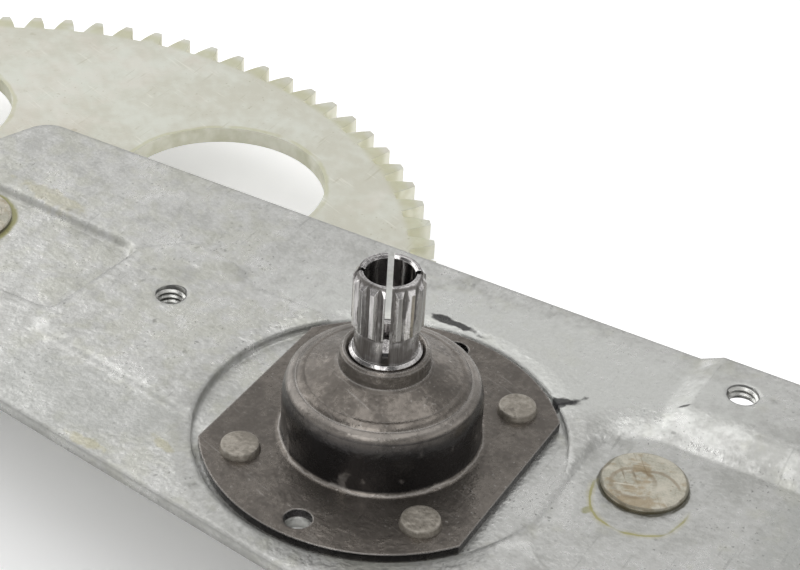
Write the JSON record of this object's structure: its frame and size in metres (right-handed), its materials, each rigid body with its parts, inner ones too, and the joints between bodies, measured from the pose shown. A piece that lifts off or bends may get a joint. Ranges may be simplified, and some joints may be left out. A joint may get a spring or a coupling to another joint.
{
  "type": "window regulator",
  "caption": "Hand crank parallel arm window regulator: pressed plate, splined crank in a brake drum, toothed sector, two arms and a lift bracket.",
  "frame": {"origin": "on the crank axis, level with the top face of the base plate", "axes": "+X along the plate's straight far edge from the sector pivot towards the auxiliary pivot, +Z along the crank, out of the plate"},
  "size_m": [0.3902, 0.1292, 0.0524],
  "materials": {
    "zinc_plate": "mottled hot dip zinc, satin",
    "dark_steel": "brown grey phosphate, satin",
    "rivet_steel": "worn steel, satin",
    "bright_steel": "turned steel, lightly oiled",
    "spring_steel": "oiled spring wire",
    "chromate_steel": "pale yellow green chromate, cloudy",
    "stud_steel": "beige chromate, scratched",
    "bush_plastic": "natural plastic"
  },
  "bodies": {
    "frame_body": {"base_plate": "zinc_plate", "crank_housing": "dark_steel", "housing_rivets": "rivet_steel", "pivot_studs": "stud_steel", "thrust_washer": "chromate_steel", "auxiliary_spacer": "chromate_steel", "pivot_washers": "chromate_steel"},
    "crank_body": {"crank_shaft": "bright_steel", "pinion_gear": "dark_steel", "brake_spring": "spring_steel", "pinion_washer": "bright_steel", "pinion_ring": "spring_steel"},
    "main_arm_body": {"sector_gear": "chromate_steel", "main_arm": "zinc_plate", "arm_rivets": "rivet_steel", "main_rail_pin": "stud_steel", "main_rail_washer": "chromate_steel", "main_rail_ring": "spring_steel"},
    "auxiliary_arm_body": {"auxiliary_arm": "zinc_plate", "auxiliary_rail_pin": "stud_steel", "auxiliary_rail_washer": "chromate_steel", "auxiliary_rail_ring": "spring_steel"},
    "bracket_body": {"lift_bracket": "zinc_plate", "bracket_bushes": "bush_plastic"}
  },
  "joints": [
    {"name": "main_arm_hinge", "type": "hinge", "parent": "frame_body", "child": "main_arm_body", "pos_m": [-0.0892, 0.012, -0.0075], "axis": [0, 0, 1], "range_deg": [-112, 0]},
    {"name": "crank_turn", "type": "hinge", "parent": "frame_body", "child": "crank_body", "pos_m": [0, 0, 0], "axis": [0, 0, 1], "range_deg": [0, 896]},
    {"name": "auxiliary_arm_hinge", "type": "hinge", "parent": "frame_body", "child": "auxiliary_arm_body", "pos_m": [0.038, 0.012, -0.0139], "axis": [0, 0, 1], "range_deg": [-112, 0]},
    {"name": "bracket_hinge", "type": "hinge", "parent": "main_arm_body", "child": "bracket_body", "pos_m": [-0.28616, 0.04673, -0.0173], "axis": [0, 0, 1], "range_deg": [0, 112]}
  ],
  "couplings": [
    {"joint": "crank_turn", "follows": "main_arm_hinge", "ratio": -8},
    {"joint": "auxiliary_arm_hinge", "follows": "main_arm_hinge", "ratio": 1},
    {"joint": "bracket_hinge", "follows": "main_arm_hinge", "ratio": -1}
  ]
}
